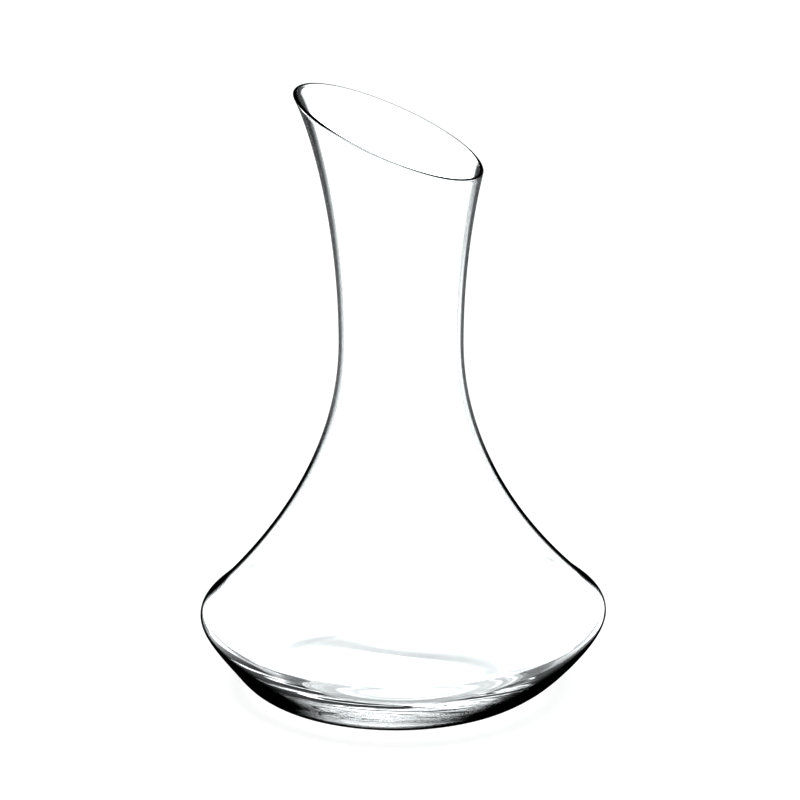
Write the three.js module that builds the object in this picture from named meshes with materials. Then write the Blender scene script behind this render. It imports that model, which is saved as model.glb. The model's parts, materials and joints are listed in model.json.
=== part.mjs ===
// Wine decanter: one blown piece of clear glass with a wide, low bowl and a neck that
// draws in and flares again to the mouth. The mouth is cut on a slant and fire-polished.
// The base is thick and almost flat, and only a very shallow hollow (the punt) keeps it
// off the table inside the ring that it stands on. Blowing has left the glass uneven.
//
// Millimetres, +Z up. The origin is under the middle of the bowl, on the surface that the
// decanter stands on. The high side of the mouth points along -X, the low side along +X.

import * as THREE from "three";

const degrees = THREE.MathUtils.degToRad;

// ---- Driving dimensions ----

// Rings of the outer outline, from the foot to just past the high lip. The outline
// passes each one in the direction travel, measured from straight outwards, and keeps
// to that direction for about the lengths before and after.
const RINGS = {
  foot: { radius: 47.6, height: 0, travel: degrees(0), before: 0, after: 12.6 },
  underside: { radius: 73, height: 12.3, travel: degrees(49.2), before: 9.1, after: 7.5 },
  widest: { radius: 86.9, height: 32.7, travel: degrees(90), before: 4.3, after: 3.6 },
  shoulder: { radius: 76.5, height: 44.5, travel: degrees(132.8), before: 11.5, after: 44.2 },
  waist: { radius: 26.5, height: 155.7, travel: degrees(90), before: 41.4, after: 53.8 },
  flare: { radius: 45.9, height: 267.7, travel: degrees(64), before: 16.8, after: 0 },
};

const FOOT_RING_WIDTH = 4; // the flat ring that it stands on, from the foot in to the punt
const PUNT_HEIGHT = 0.8; // how far the hollow under the base rises

const MOUTH_HEIGHT = 247; // where the slanted cut crosses the neck's axis
const MOUTH_SLOPE = 0.433; // how far the cut falls for each mm towards +X

// The wall is thinnest on the shoulder and thickest at the foot. Each change from the
// wall at the lip is strongest at the foot, and fades away over the height reach.
const LIP_WALL = 1.6;
const SHOULDER_WALL = { change: -0.3, reach: 110 };
const BOWL_WALL = { change: 1, reach: 45 };
const FOOT_WALL = { change: 3.1, reach: 18 };

// The wall's thickness differs round the axis: by this much more towards +X.
const NECK_UNEVEN = 0.2;
const BOWL_UNEVEN = { change: -0.7, reach: 45 };

// The foot and the bowl sit off the neck's axis, and the bowl leans up towards +X.
const FOOT_SHIFT = { change: -1.94, reach: 12 };
const BOWL_SHIFT = 1.24;
const BOWL_LEAN = 0.019; // how far it rises for each mm towards +X
const BOWL_LEAN_START = 4.9; // height by which the shift and the lean have begun
const BOWL_LEAN_REACH = 59.7; // height over which they fade away

// Towards the back (+Y) the inside floor sinks, beyond a bent line across it.
const SINK = {
  depth: 3.2,
  width: 11.5, // distance over which it sinks most of the way
  middle: 12.5, // where the line crosses the neck's axis
  slant: 0.3, // how far the line comes forward for each mm towards +X
  bend: 12, // how far both ends of the line come forward
  end: 45, // half of its length
  softness: 2.5, // how gently the sinking starts in the middle of the line
  softerEnds: 26, // how much more gently at its ends
  reach: 12,
};

// ---- How finely the round surfaces are faceted ----
const SEGMENTS = 60;
const PUNT_STEPS = 3;
const FOOT_STEPS = 4;
const UNDERSIDE_STEPS = 4;
const BOWL_STEPS = 4;
const SHOULDER_STEPS = 8;
const NECK_STEPS = 7;
const LIP_STEPS = 5;
const FLOOR_STEPS = 6;
const HALVINGS = 30; // fixes the cut's edge to well under a micrometre

// ---- Outer outline ----
const vec = (radius, height) => new THREE.Vector2(radius, height);
const heading = (travel) => vec(Math.cos(travel), Math.sin(travel));

function curveBetween(from, to) {
  const start = vec(from.radius, from.height);
  const end = vec(to.radius, to.height);
  return new THREE.CubicBezierCurve(
    start,
    start.clone().addScaledVector(heading(from.travel), from.after),
    end.clone().addScaledVector(heading(to.travel), -to.before),
    end,
  );
}

const footCurve = curveBetween(RINGS.foot, RINGS.underside);
const undersideCurve = curveBetween(RINGS.underside, RINGS.widest);
const bowlCurve = curveBetween(RINGS.widest, RINGS.shoulder);
const shoulderCurve = curveBetween(RINGS.shoulder, RINGS.waist);
const neckCurve = curveBetween(RINGS.waist, RINGS.flare);

// ---- The wall ----
const fade = (height, reach) => Math.exp(-((height / reach) ** 2));
const changeAt = (height, { change, reach }) => change * fade(height, reach);

// Towards is the cosine of the wall's direction, counted from +X.
function wallThickness(height, towards) {
  const even = [SHOULDER_WALL, BOWL_WALL, FOOT_WALL].reduce(
    (sum, wall) => sum + changeAt(height, wall),
    LIP_WALL,
  );
  const neckShare = 1 - fade(height, BOWL_UNEVEN.reach);
  return even + towards * (NECK_UNEVEN * neckShare + changeAt(height, BOWL_UNEVEN));
}

// Points of the section are (radius, height, height of the outer wall there).
function outerPoint(curve, share) {
  const outer = curve.getPoint(share);
  return new THREE.Vector3(outer.x, outer.y, outer.y);
}

function innerPoint(curve, share, towards) {
  const outer = outerPoint(curve, share);
  const tangent = curve.getTangent(share);
  const inwards = new THREE.Vector3(-tangent.y, tangent.x, 0);
  return outer.addScaledVector(inwards, wallThickness(outer.y, towards));
}

// Points from a curve's start, which is left out, to the share of it that is given.
function follow(pointAt, steps, end = 1) {
  return Array.from({ length: steps }, (_, i) => pointAt((end * (i + 1)) / steps));
}

// ---- The slanted mouth ----

// How far up the neck one of its walls meets the cut, found by halving the interval.
function shareAtMouth(pointAt, towards) {
  let low = 0;
  let high = 1;
  for (let i = 0; i < HALVINGS; i++) {
    const middle = (low + high) / 2;
    const point = pointAt(middle);
    const cutHeight = MOUTH_HEIGHT - MOUTH_SLOPE * point.x * towards;
    if (point.y < cutHeight) {
      low = middle;
    } else {
      high = middle;
    }
  }
  return low;
}

const OUT_OF_SECTION = new THREE.Vector3(0, 0, 1);

// The fire-polished lip: half a turn over the cut, from the outer wall to the inner.
function lip(outer, inner) {
  const centre = outer.clone().lerp(inner, 0.5);
  const points = [];
  for (let i = 1; i < LIP_STEPS; i++) {
    const arm = outer.clone().sub(centre);
    points.push(arm.applyAxisAngle(OUT_OF_SECTION, (Math.PI * i) / LIP_STEPS).add(centre));
  }
  return points;
}

// ---- The base ----
function punt() {
  const edge = RINGS.foot.radius - FOOT_RING_WIDTH;
  const points = [];
  for (let i = 0; i <= PUNT_STEPS; i++) {
    const share = i / PUNT_STEPS;
    points.push(new THREE.Vector3(edge * share, PUNT_HEIGHT * (1 - share ** 2) ** 2, 0));
  }
  return points;
}

// The inside floor, from the wall's lower end to the axis.
function floor(wallEnd) {
  const middle = new THREE.Vector3(0, wallThickness(0, 0), 0);
  return follow((share) => wallEnd.clone().lerp(middle, share), FLOOR_STEPS);
}

// ---- The whole section, for one direction round the axis ----
// It starts at the axis under the base, goes out, up the outside, over the lip and
// down the inside, and ends at the axis on the floor.
function wallPoints(pointAt, towards) {
  const along = (curve) => (share) => pointAt(curve, share);
  const mouth = shareAtMouth(along(neckCurve), towards);
  return [
    pointAt(footCurve, 0),
    ...follow(along(footCurve), FOOT_STEPS),
    ...follow(along(undersideCurve), UNDERSIDE_STEPS),
    ...follow(along(bowlCurve), BOWL_STEPS),
    ...follow(along(shoulderCurve), SHOULDER_STEPS),
    ...follow(along(neckCurve), NECK_STEPS, mouth),
  ];
}

function section(towards) {
  const innerAt = (curve, share) => innerPoint(curve, share, towards);
  const outside = wallPoints(outerPoint, towards);
  const inside = wallPoints(innerAt, towards).reverse();
  return {
    outer: [...punt(), ...outside, ...lip(outside.at(-1), inside[0])],
    inner: [...inside, ...floor(inside.at(-1))],
  };
}

// ---- The unevenness that blowing left ----
function sinkingAt(x, y, outerHeight) {
  const along = x / SINK.end;
  const line = SINK.middle - SINK.slant * x - SINK.bend * along ** 4;
  const beyond = Math.max(y - line, 0);
  const start = beyond + SINK.softness + SINK.softerEnds * along ** 2;
  const share = 1 - Math.exp(-(beyond ** 2) / start / SINK.width);
  return SINK.depth * share * fade(outerHeight, SINK.reach);
}

const bowlShare = (height) => (1 - fade(height, BOWL_LEAN_START)) * fade(height, BOWL_LEAN_REACH);
const shiftAt = (height) => BOWL_SHIFT * bowlShare(height) + changeAt(height, FOOT_SHIFT);

// Places a point of the section that faces this angle, with the bowl's middle over the origin.
function settle(point, angle, isInner) {
  const x = point.x * Math.cos(angle);
  const y = point.x * Math.sin(angle);
  const lean = BOWL_LEAN * x * bowlShare(point.z);
  const sinking = isInner ? sinkingAt(x, y, point.z) : 0;
  const shift = shiftAt(point.z) - shiftAt(RINGS.widest.height);
  return new THREE.Vector3(x + shift, y, point.y + lean - sinking);
}

// ---- The glass: the section turned about the axis, and settled into its uneven shape ----
function decanterGeometry() {
  const level = section(0);
  const points = [...level.outer, ...level.inner];
  const geometry = new THREE.LatheGeometry(points, SEGMENTS);
  const position = geometry.getAttribute("position");
  for (let turn = 0; turn <= SEGMENTS; turn++) {
    const angle = (2 * Math.PI * (turn % SEGMENTS)) / SEGMENTS;
    const { outer, inner } = section(Math.cos(angle));
    [...outer, ...inner].forEach((point, i) => {
      const place = settle(point, angle, i >= outer.length);
      position.setXYZ(turn * points.length + i, place.x, place.y, place.z);
    });
  }
  geometry.computeVertexNormals();
  return geometry;
}

const clearGlass = new THREE.MeshStandardMaterial({
  name: "clear_glass",
  color: 0xf0f5f3,
  roughness: 0.03,
  metalness: 0,
  transparent: true,
  opacity: 0.35,
});

const decanter = new THREE.Group();
const glassBody = new THREE.Mesh(decanterGeometry(), clearGlass);
glassBody.name = "glass_body";
decanter.add(glassBody);

export default decanter;
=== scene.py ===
"""Wine decanter: one blown piece of clear glass, on a plain white floor, lit evenly from all round.

Lengths are in the decanter's own millimetres, and MM turns them into the frame's metres.
+Z is up, the mouth's high side points along -X, and the main camera looks along +Y.
"""

import json
import math

import bpy
import numpy as np
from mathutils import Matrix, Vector

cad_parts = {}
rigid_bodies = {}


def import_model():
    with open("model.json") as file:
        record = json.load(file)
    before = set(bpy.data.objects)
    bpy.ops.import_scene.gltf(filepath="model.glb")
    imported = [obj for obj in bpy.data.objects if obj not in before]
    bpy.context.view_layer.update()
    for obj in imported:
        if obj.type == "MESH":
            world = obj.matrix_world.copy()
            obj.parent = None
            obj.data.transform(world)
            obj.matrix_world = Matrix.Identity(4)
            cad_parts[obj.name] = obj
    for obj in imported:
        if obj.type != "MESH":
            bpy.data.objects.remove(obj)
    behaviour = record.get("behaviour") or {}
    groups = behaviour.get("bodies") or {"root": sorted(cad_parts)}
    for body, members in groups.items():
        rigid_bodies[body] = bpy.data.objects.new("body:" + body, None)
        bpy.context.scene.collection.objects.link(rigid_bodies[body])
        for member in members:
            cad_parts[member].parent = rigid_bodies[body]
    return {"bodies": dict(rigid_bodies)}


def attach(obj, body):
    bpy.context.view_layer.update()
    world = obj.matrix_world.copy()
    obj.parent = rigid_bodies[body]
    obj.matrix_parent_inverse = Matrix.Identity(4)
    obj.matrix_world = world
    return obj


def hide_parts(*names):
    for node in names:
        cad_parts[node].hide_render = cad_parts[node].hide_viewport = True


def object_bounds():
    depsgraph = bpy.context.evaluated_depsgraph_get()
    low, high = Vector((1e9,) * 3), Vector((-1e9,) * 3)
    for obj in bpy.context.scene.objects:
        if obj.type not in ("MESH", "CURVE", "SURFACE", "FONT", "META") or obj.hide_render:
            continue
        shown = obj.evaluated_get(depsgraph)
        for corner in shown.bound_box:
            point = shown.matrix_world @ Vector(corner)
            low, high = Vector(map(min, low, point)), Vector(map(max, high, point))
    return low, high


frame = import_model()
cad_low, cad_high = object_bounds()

NODE = "glass_body"
BODY = next(iter(frame["bodies"]))

WIDEST_RADIUS = 86.9
MM = (cad_high.x - cad_low.x) / 2 / WIDEST_RADIUS
ORIGIN = Vector(((cad_high.x + cad_low.x) / 2, (cad_high.y + cad_low.y) / 2, cad_low.z))

# ---------------------------------------------------------------- the decanter's shape
# Rings of the outer outline, from the foot to just past the high lip. The outline
# passes each in the direction travel (degrees from straight outwards), and keeps to it
# for about the lengths before and after.
RINGS = {
    "foot": dict(radius=47.6, height=0.0, travel=0.0, before=0.0, after=12.6),
    "underside": dict(radius=73.0, height=12.3, travel=49.2, before=9.1, after=7.5),
    "widest": dict(radius=WIDEST_RADIUS, height=32.7, travel=90.0, before=4.3, after=3.6),
    "shoulder": dict(radius=76.5, height=44.5, travel=132.8, before=11.5, after=44.2),
    "waist": dict(radius=26.5, height=155.7, travel=90.0, before=41.4, after=53.8),
    "flare": dict(radius=45.9, height=267.7, travel=64.0, before=16.8, after=0.0),
}

FOOT_RING_WIDTH = 4.0
PUNT_HEIGHT = 0.8
MOUTH_HEIGHT = 247.0
MOUTH_SLOPE = 0.433

# The wall is thinnest on the shoulder and thickest at the foot. Each change from the
# wall at the lip is strongest at the foot, and fades away over the height reach.
LIP_WALL = 1.6
SHOULDER_WALL = dict(change=-0.3, reach=110.0)
BOWL_WALL = dict(change=1.0, reach=45.0)
FOOT_WALL = dict(change=3.1, reach=18.0)

# The wall's thickness differs round the axis: by this much more towards +X.
NECK_UNEVEN = 0.2
BOWL_UNEVEN = dict(change=-0.7, reach=45.0)

# The foot and the bowl sit off the neck's axis, and the bowl leans up towards +X.
FOOT_SHIFT = dict(change=-1.94, reach=12.0)
BOWL_SHIFT = 1.24
BOWL_LEAN = 0.019
BOWL_LEAN_START = 4.9
BOWL_LEAN_REACH = 59.7

# Towards the back (+Y) the inside floor sinks, beyond a bent line across it: the line
# crosses the neck's axis at middle, and is 2 * end long. It comes forward by slant for
# each mm towards +X, and by bend at both ends, where the sinking also starts softer.
SINK = dict(
    depth=3.2, width=11.5, middle=12.5, slant=0.3, bend=12.0,
    end=45.0, softness=2.5, softer_ends=26.0, reach=12.0,
)

# Faint rings round the front of the heel: (wavelength, strength, how it wanders with the
# direction, as (size, turns, phase)).
RINGS_ON_HEEL = (
    (7.3, 1.0, ((0.9, 1, 0.4), (0.5, 3, 0.0))),
    (4.1, 0.6, ((1.3, 1, 2.0), (0.6, 5, 1.0))),
    (2.3, 0.3, ((1.7, 2, 1.1),)),
)
# They rise from start to full along the radius, and fade in from fade_from to fade_to
# towards the front. Going up by a millimetre moves along them by the share climb.
HEEL = dict(start=45.0, full=51.0, reach=9.0, fade_from=5.0, fade_to=38.0, climb=0.6)
INNER_RIPPLE = 0.07
OUTER_RIPPLE = 0.03
INNER_PHASE = 1.7

# The mesh's points carry this number: 1 on the inside wall and floor, 0 elsewhere.
INSIDE = "inside"

# How finely each stretch is divided.
TURNS = 256
STEPS = dict(floor=40, foot=40, underside=30, bowl=28, shoulder=40, neck=40, lip=14)


def heading(travel):
    angle = math.radians(travel)
    return np.array([math.cos(angle), math.sin(angle)])


def bezier(points, shares):
    """Places and unit directions at these shares of a cubic curve through (radius, height)."""
    a, b, c, d = (np.asarray(p, float) for p in points)
    t = np.asarray(shares, float)[..., None]
    place = (1 - t) ** 3 * a + 3 * (1 - t) ** 2 * t * b + 3 * (1 - t) * t**2 * c + t**3 * d
    slope = (1 - t) ** 2 * (b - a) + 2 * (1 - t) * t * (c - b) + t**2 * (d - c)
    return place, slope / np.linalg.norm(slope, axis=-1, keepdims=True)


def curve_between(name_from, name_to):
    start, end = RINGS[name_from], RINGS[name_to]
    a = np.array([start["radius"], start["height"]])
    d = np.array([end["radius"], end["height"]])
    return a, a + heading(start["travel"]) * start["after"], d - heading(end["travel"]) * end["before"], d


FOOT = curve_between("foot", "underside")
UNDERSIDE = curve_between("underside", "widest")
BOWL = curve_between("widest", "shoulder")
SHOULDER = curve_between("shoulder", "waist")
NECK = curve_between("waist", "flare")


def fading(height, reach):
    return np.exp(-((height / reach) ** 2))


def change_at(height, change, reach):
    return change * fading(height, reach)


def wall(height, towards):
    """The wall's thickness. towards is the cosine of the direction round the axis, from +X."""
    even = LIP_WALL + sum(change_at(height, **part) for part in (SHOULDER_WALL, BOWL_WALL, FOOT_WALL))
    neck_share = 1 - fading(height, BOWL_UNEVEN["reach"])
    return even + towards * (NECK_UNEVEN * neck_share + change_at(height, **BOWL_UNEVEN))


def outer_at(curve, shares, towards):
    """Points of the outer wall, as (radius, height, outer height), for each direction."""
    place = bezier(curve, shares)[0]
    place = np.concatenate([place, place[..., 1:]], axis=-1)
    return np.broadcast_to(place, (len(towards), *place.shape[-2:]))


def inner_at(curve, shares, towards):
    """Points of the inner wall, and the height of the outer wall behind each."""
    place, direction = bezier(curve, shares)
    inwards = np.stack([-direction[..., 1], direction[..., 0]], axis=-1)
    inner = place + inwards * wall(place[..., 1], towards)[..., None]
    return np.concatenate([inner, 0 * inner[..., :1] + place[..., 1:]], axis=-1)


def share_at_mouth(wall_at, towards):
    """How far up the neck each wall direction meets the slanted cut."""
    low, high = np.zeros_like(towards), np.ones_like(towards)
    for _ in range(40):
        middle = (low + high) / 2
        place = wall_at(NECK, middle, towards)
        below = place[..., 1] < MOUTH_HEIGHT - MOUTH_SLOPE * place[..., 0] * towards
        low, high = np.where(below, middle, low), np.where(below, high, middle)
    return low


def ripple(along, angles):
    """The rings' height, for places that far along the section."""
    height = np.zeros((len(angles), 1))
    for wavelength, strength, wanderings in RINGS_ON_HEEL:
        wander = sum(size * np.sin(turns * angles + phase) for size, turns, phase in wanderings)
        height = height + strength * np.sin(2 * np.pi * along / wavelength + wander[:, None])
    return height


def smooth_step(value, start, end):
    share = np.clip((value - start) / (end - start), 0, 1)
    return share * share * (3 - 2 * share)


def spread(name):
    return np.arange(1, STEPS[name] + 1) / STEPS[name]


def section_columns(angles):
    """The section at each angle, as an array [angle, point, (radius, height, outer height)]."""
    towards = np.cos(angles)[:, None]

    def walls(wall_at):
        lower = [wall_at(FOOT, spread("foot"), towards), wall_at(UNDERSIDE, spread("underside"), towards),
                 wall_at(BOWL, spread("bowl"), towards), wall_at(SHOULDER, spread("shoulder"), towards)]
        neck = wall_at(NECK, share_at_mouth(wall_at, towards) * spread("neck"), towards)
        return np.concatenate([*lower, neck], axis=1)

    radius = RINGS["foot"]["radius"] * spread("floor")
    share = np.minimum(radius / (RINGS["foot"]["radius"] - FOOT_RING_WIDTH), 1)
    under = np.stack([radius, PUNT_HEIGHT * (1 - share**2) ** 2, 0 * radius], axis=-1)
    under = np.broadcast_to(under, (len(angles), *under.shape))
    outside, inside = walls(outer_at), walls(inner_at)[:, ::-1]

    start, end = outside[:, -1:], inside[:, :1]
    centre = (start + end) / 2
    arm = start - centre
    across_arm = np.stack([-arm[..., 1], arm[..., 0], 0 * arm[..., 0]], axis=-1)
    turn = np.pi * spread("lip")[:-1, None]
    lip = centre + arm * np.cos(turn) + across_arm * np.sin(turn)

    edge = inner_at(FOOT, np.array([0.0]), towards)
    middle = np.array([0.0, wall(0.0, 0.0), 0.0])
    floor = edge + (middle - edge) * (1 - spread("floor")[::-1])[:, None]
    columns = np.concatenate([under, outside, lip, inside, floor], axis=1)
    is_inner = np.arange(columns.shape[1]) > under.shape[1] + outside.shape[1]
    return columns, is_inner


def heel_rings(radius, height, outer_height, angles, is_inner):
    """How far the rings on the heel raise each place. They leave the foot ring's underside flat."""
    forward = -radius * np.sin(angles)[:, None]
    share = smooth_step(radius, HEEL["start"], HEEL["full"]) * fading(outer_height, HEEL["reach"])
    share = share * smooth_step(forward, HEEL["fade_from"], HEEL["fade_to"])
    strength = np.where(is_inner, INNER_RIPPLE, OUTER_RIPPLE * smooth_step(height, 0.0, 1.0))
    return share * strength * ripple(radius + HEEL["climb"] * height + INNER_PHASE * is_inner, angles)


def sinking(x, y, outer_height):
    """How far the inside floor is sunk."""
    along = x / SINK["end"]
    beyond = np.maximum(y - (SINK["middle"] - SINK["slant"] * x - SINK["bend"] * along**4), 0)
    start = beyond + SINK["softness"] + SINK["softer_ends"] * along**2
    share = 1 - np.exp(-(beyond**2) / start / SINK["width"])
    return SINK["depth"] * share * fading(outer_height, SINK["reach"])


def bowl_share(height):
    return (1 - fading(height, BOWL_LEAN_START)) * fading(height, BOWL_LEAN_REACH)


def shift(height):
    return BOWL_SHIFT * bowl_share(height) + change_at(height, **FOOT_SHIFT)


NECK_X = -shift(RINGS["widest"]["height"])


def settle(columns, is_inner, angles):
    """Places in 3-D, in millimetres from the origin under the bowl, with the glass uneven."""
    radius, height, outer_height = np.moveaxis(columns, -1, 0)
    x = radius * np.cos(angles)[:, None]
    y = radius * np.sin(angles)[:, None]
    z = height + BOWL_LEAN * x * bowl_share(outer_height) - sinking(x, y, outer_height) * is_inner
    z = z + heel_rings(radius, height, outer_height, angles, is_inner)
    return np.stack([x + NECK_X + shift(outer_height), y, z], axis=-1)


def build_glass():
    angles = 2 * np.pi * np.arange(TURNS) / TURNS
    columns, is_inner = section_columns(angles)
    body = settle(columns, is_inner, angles)
    count = body.shape[1]
    body = body.reshape(-1, 3)
    foot_x = NECK_X + shift(0.0)
    poles = [[foot_x, 0, PUNT_HEIGHT], [foot_x, 0, wall(0.0, 0.0)]]
    verts = np.concatenate([body, poles]) * MM + np.array(ORIGIN)

    under_pole, floor_pole = len(body), len(body) + 1
    faces = []
    for i in range(TURNS):
        j = (i + 1) % TURNS
        a, b = i * count, j * count
        faces.append((under_pole, b, a))
        faces.extend((a + k, b + k, b + k + 1, a + k + 1) for k in range(count - 1))
        faces.append((a + count - 1, b + count - 1, floor_pole))

    mesh = bpy.data.meshes.new("decanter")
    mesh.from_pydata(verts.tolist(), [], faces)
    mesh.shade_smooth()
    inside = mesh.attributes.new(INSIDE, "FLOAT", "POINT")
    at_points = np.concatenate([np.tile(is_inner, TURNS), [False, True]])
    inside.data.foreach_set("value", at_points.astype(np.float32))
    piece = bpy.data.objects.new("decanter", mesh)
    bpy.context.scene.collection.objects.link(piece)
    return piece


# ---------------------------------------------------------------- node helpers
def feed(tree, socket, value):
    """Link a socket to another node's output, or set it to a plain number or colour."""
    if isinstance(value, bpy.types.NodeSocket):
        tree.links.new(value, socket)
    else:
        socket.default_value = value


def calc(tree, operation, *values):
    node = tree.nodes.new("ShaderNodeMath")
    node.operation = operation
    for socket, value in zip(node.inputs, values):
        feed(tree, socket, value)
    return node.outputs[0]


def ramp(tree, value, start, end, at_start=0.0, at_end=1.0, kind="LINEAR"):
    """A number that goes from at_start to at_end as the value goes from start to end."""
    node = tree.nodes.new("ShaderNodeMapRange")
    node.interpolation_type = kind
    feed(tree, node.inputs["Value"], value)
    for name, number in (("From Min", start), ("From Max", end), ("To Min", at_start), ("To Max", at_end)):
        node.inputs[name].default_value = number
    return node.outputs["Result"]


def blend(tree, share, a, b):
    node = tree.nodes.new("ShaderNodeMix")
    node.data_type = "RGBA"
    for name, value in (("Factor", share), ("A", a), ("B", b)):
        feed(tree, node.inputs[name], value)
    return node.outputs["Result"]


# ---------------------------------------------------------------- material
GLASS_TINT = (1.0, 1.0, 1.0, 1)
STREAK_TINT = (0.985, 0.995, 0.99, 1)
STREAK_SCALE = (90.0, 90.0, 12.0)
STREAK_DETAIL = 3.0
STREAK_FROM = 0.35
STREAK_TO = 0.6
IOR = 1.52
ROUGHEST = 0.008

# Painted shade: a near-black, dull surface is mixed into the glass where it is seen at a
# grazing angle, standing in for the dark outline that dark surroundings seen through the
# glass would give. It is half dark where the cosine between the view and the surface's
# normal is this, at these heights, and it changes over the share EDGE_SOFT of the cosine to
# each side. Low down, the inside wall has the share EDGE_INSIDE of it.
PAINTED_EDGE_SHADE_TINT = (0.0004, 0.0006, 0.0005, 1)
EDGE_SOFT = 0.25
EDGE_FLOOR = dict(height=3.0, cosine=0.2)
EDGE_UNDERSIDE = dict(height=12.0, cosine=0.44)
EDGE_SHOULDER = dict(height=46.0, cosine=0.16)
EDGE_NECK = dict(height=130.0, cosine=0.33)
EDGE_LIP_COSINE = 0.42
EDGE_INSIDE = 0.35
EDGE_NECK_SHARE = 0.93
NECK_SHARE_START = 100.0


def painted_edge_shade_share(tree, place):
    """How strongly painted shade darkens the edge, from the place on the glass (Object coordinates) and
    the viewing angle.
    """
    split = tree.nodes.new("ShaderNodeSeparateXYZ")
    feed(tree, split.inputs[0], place)
    x, height = split.outputs["X"], split.outputs["Z"]

    def over_height(low, high):
        start, end = (ORIGIN.z + ring["height"] * MM for ring in (low, high))
        return ramp(tree, height, start, end, low["cosine"], high["cosine"])

    inside = tree.nodes.new("ShaderNodeAttribute")
    inside.attribute_name = INSIDE
    low_edge = calc(tree, "MINIMUM", over_height(EDGE_FLOOR, EDGE_UNDERSIDE),
                    over_height(EDGE_UNDERSIDE, EDGE_SHOULDER))
    low_edge = calc(tree, "MULTIPLY", low_edge,
                    calc(tree, "MULTIPLY_ADD", inside.outputs["Fac"], EDGE_INSIDE - 1.0, 1.0))
    wall_edge = calc(tree, "MAXIMUM", low_edge, over_height(EDGE_SHOULDER, EDGE_NECK))

    above_cut = calc(tree, "MULTIPLY_ADD", x, MOUTH_SLOPE, height)
    cut = ORIGIN.z + MOUTH_SLOPE * ORIGIN.x + (MOUTH_HEIGHT + MOUTH_SLOPE * NECK_X) * MM
    on_lip = ramp(tree, above_cut, cut - LIP_WALL * MM, cut, 0.0, EDGE_LIP_COSINE)
    edge = calc(tree, "MAXIMUM", wall_edge, on_lip)

    # The painted shade follows the viewing angle, read from Layer Weight's Facing.
    view = tree.nodes.new("ShaderNodeLayerWeight")
    view.inputs["Blend"].default_value = 0.5
    cosine = calc(tree, "SUBTRACT", 1.0, view.outputs["Facing"])
    ratio = calc(tree, "DIVIDE", cosine, edge)
    dark = ramp(tree, ratio, 1 + EDGE_SOFT, 1 - EDGE_SOFT, kind="SMOOTHSTEP")
    up_neck = ramp(tree, height, ORIGIN.z + NECK_SHARE_START * MM,
                   ORIGIN.z + EDGE_NECK["height"] * MM, 1.0, EDGE_NECK_SHARE)
    return calc(tree, "MULTIPLY", dark, up_neck)


def glass_material():
    """Clear, polished glass with faint drawn-out streaks, and painted shade where it is seen edge on."""
    material = bpy.data.materials.new("clear_glass")
    material.use_nodes = True
    tree = material.node_tree
    nodes = tree.nodes
    shader = nodes["Principled BSDF"]
    shader.inputs["Transmission Weight"].default_value = 1.0
    shader.inputs["IOR"].default_value = IOR

    place = nodes.new("ShaderNodeTexCoord").outputs["Object"]
    stretch = nodes.new("ShaderNodeMapping")
    feed(tree, stretch.inputs["Scale"], STREAK_SCALE)
    feed(tree, stretch.inputs["Vector"], place)
    streaks = nodes.new("ShaderNodeTexNoise")
    streaks.inputs["Scale"].default_value = 1.0
    streaks.inputs["Detail"].default_value = STREAK_DETAIL
    feed(tree, streaks.inputs["Vector"], stretch.outputs["Vector"])

    tint = nodes.new("ShaderNodeValToRGB")
    first, last = tint.color_ramp.elements
    first.position, first.color = STREAK_FROM, STREAK_TINT
    last.position, last.color = STREAK_TO, GLASS_TINT
    feed(tree, tint.inputs["Fac"], streaks.outputs["Fac"])
    feed(tree, shader.inputs["Base Color"], tint.outputs["Color"])
    feed(tree, shader.inputs["Roughness"], ramp(tree, streaks.outputs["Fac"], 0.0, 1.0, 0.0, ROUGHEST))

    # Painted shade: a near-black surface that doesn't reflect, mixed over the glass at grazing angles.
    dark = nodes.new("ShaderNodeBsdfPrincipled")
    dark.inputs["Base Color"].default_value = PAINTED_EDGE_SHADE_TINT
    dark.inputs["Roughness"].default_value = 1.0
    dark.inputs["Specular IOR Level"].default_value = 0.0
    mix = nodes.new("ShaderNodeMixShader")
    for socket, value in zip(mix.inputs, (painted_edge_shade_share(tree, place), shader.outputs[0], dark.outputs[0])):
        feed(tree, socket, value)
    feed(tree, nodes["Material Output"].inputs["Surface"], mix.outputs[0])
    return material


# ---------------------------------------------------------------- stage, light and camera
FLOOR_SIZE = 6.0
FLOOR_GAP = 0.0002
FLOOR_GREY = 0.9
FLOOR_ROUGHNESS = 0.9

# The camera and the floor see PLAIN_GLOW. Rays that have met the glass see BAND_GLOW in a
# band round the horizon: between these degrees above it, it fades to the share BAND_LOW_LEVEL
# downwards and to DARK upwards.
PLAIN_GLOW = (1.3, 1.3, 1.3, 1)
BAND_GLOW = (2.55, 2.63, 2.67, 1)
BAND_LOW_START = -20.0
BAND_LOW_END = -40.0
BAND_LOW_LEVEL = 0.32
BAND_HIGH_START = -6.0
BAND_HIGH_END = 11.0
DARK = (0.006, 0.008, 0.005, 1)

# The camera looks at a place given in millimetres from the neck's axis, at table level.
CAMERA_DISTANCE = 3825.0
CAMERA_ELEVATION = 20.56
CAMERA_LENS = 405.0
CAMERA_AIM = (-0.46, 0.0, 129.3)
CAMERA_REACH = 50.0

CLEAR_BOUNCES = 96
GLOSSY_BOUNCES = 64
DIFFUSE_BOUNCES = 3
DISPLAY_GAMMA = 0.8


def build_floor():
    bpy.ops.mesh.primitive_plane_add(size=FLOOR_SIZE, location=(0, 0, ORIGIN.z - FLOOR_GAP))
    floor = bpy.context.object
    floor.name = "floor"
    material = bpy.data.materials.new("floor")
    material.use_nodes = True
    shader = material.node_tree.nodes["Principled BSDF"]
    shader.inputs["Base Color"].default_value = (FLOOR_GREY, FLOOR_GREY, FLOOR_GREY, 1)
    shader.inputs["Roughness"].default_value = FLOOR_ROUGHNESS
    floor.data.materials.append(material)
    floor.visible_transmission = False
    floor.visible_glossy = False


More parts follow.
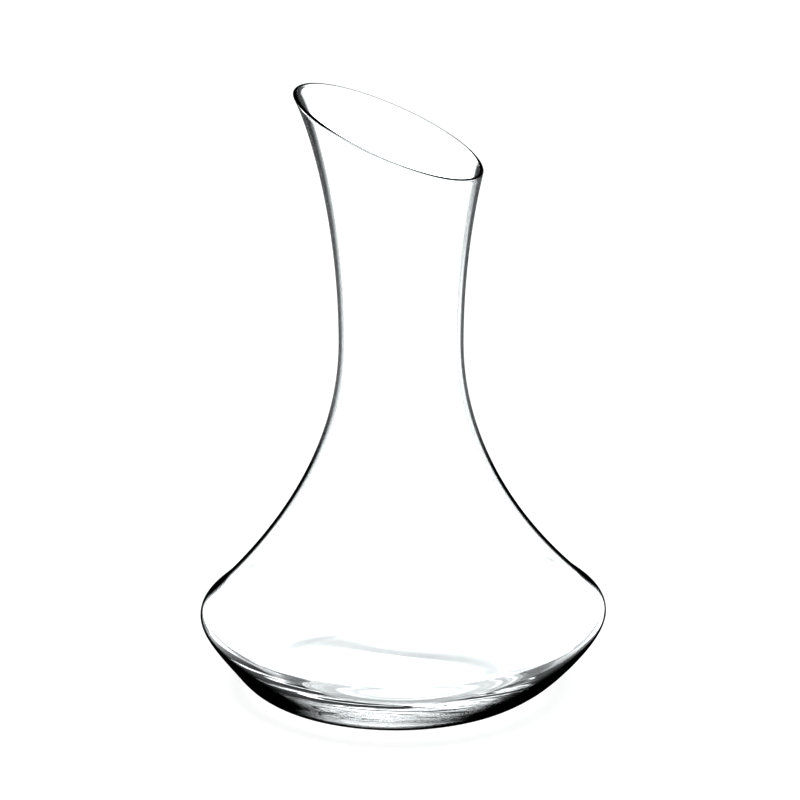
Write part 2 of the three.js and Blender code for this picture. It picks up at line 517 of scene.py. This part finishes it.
def build_world():
    """White light, the same all round; for rays through the glass, a white band and dark above it."""
    world = bpy.data.worlds.new("studio")
    bpy.context.scene.world = world
    world.use_nodes = True
    tree = world.node_tree
    nodes = tree.nodes

    split = nodes.new("ShaderNodeSeparateXYZ")
    feed(tree, split.inputs[0], nodes.new("ShaderNodeTexCoord").outputs["Generated"])
    up = calc(tree, "DEGREES", calc(tree, "ARCSINE", split.outputs["Z"]))
    low = ramp(tree, up, BAND_LOW_END, BAND_LOW_START, BAND_LOW_LEVEL, 1.0)
    high = ramp(tree, up, BAND_HIGH_END, BAND_HIGH_START, kind="SMOOTHSTEP")
    band = blend(tree, calc(tree, "MULTIPLY", low, high), DARK, BAND_GLOW)

    path = nodes.new("ShaderNodeLightPath")
    off_floor = calc(tree, "GREATER_THAN", path.outputs["Diffuse Depth"], 0.5)
    plain = calc(tree, "MAXIMUM", path.outputs["Is Camera Ray"], off_floor)
    feed(tree, nodes["Background"].inputs["Color"], blend(tree, plain, band, PLAIN_GLOW))


def build_camera():
    data = bpy.data.cameras.new("camera")
    camera = bpy.data.objects.new("camera", data)
    bpy.context.scene.collection.objects.link(camera)
    bpy.context.scene.camera = camera
    data.lens = CAMERA_LENS
    data.clip_end = CAMERA_REACH
    elevation = math.radians(CAMERA_ELEVATION)
    target = ORIGIN + (Vector((NECK_X, 0, 0)) + Vector(CAMERA_AIM)) * MM
    back = Vector((0, -math.cos(elevation), math.sin(elevation)))
    camera.location = target + back * CAMERA_DISTANCE * MM
    camera.rotation_mode = "QUATERNION"
    camera.rotation_quaternion = (-back).to_track_quat("-Z", "Y")


def render_settings():
    scene = bpy.context.scene
    scene.view_settings.view_transform = "Standard"
    scene.view_settings.look = "None"
    scene.view_settings.gamma = DISPLAY_GAMMA
    scene.cycles.max_bounces = CLEAR_BOUNCES
    scene.cycles.transmission_bounces = CLEAR_BOUNCES
    scene.cycles.glossy_bounces = GLOSSY_BOUNCES
    scene.cycles.diffuse_bounces = DIFFUSE_BOUNCES
    scene.cycles.blur_glossy = 0.0


piece = build_glass()
piece.data.materials.append(glass_material())
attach(piece, BODY)
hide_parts(NODE)

build_floor()
build_world()
build_camera()
render_settings()
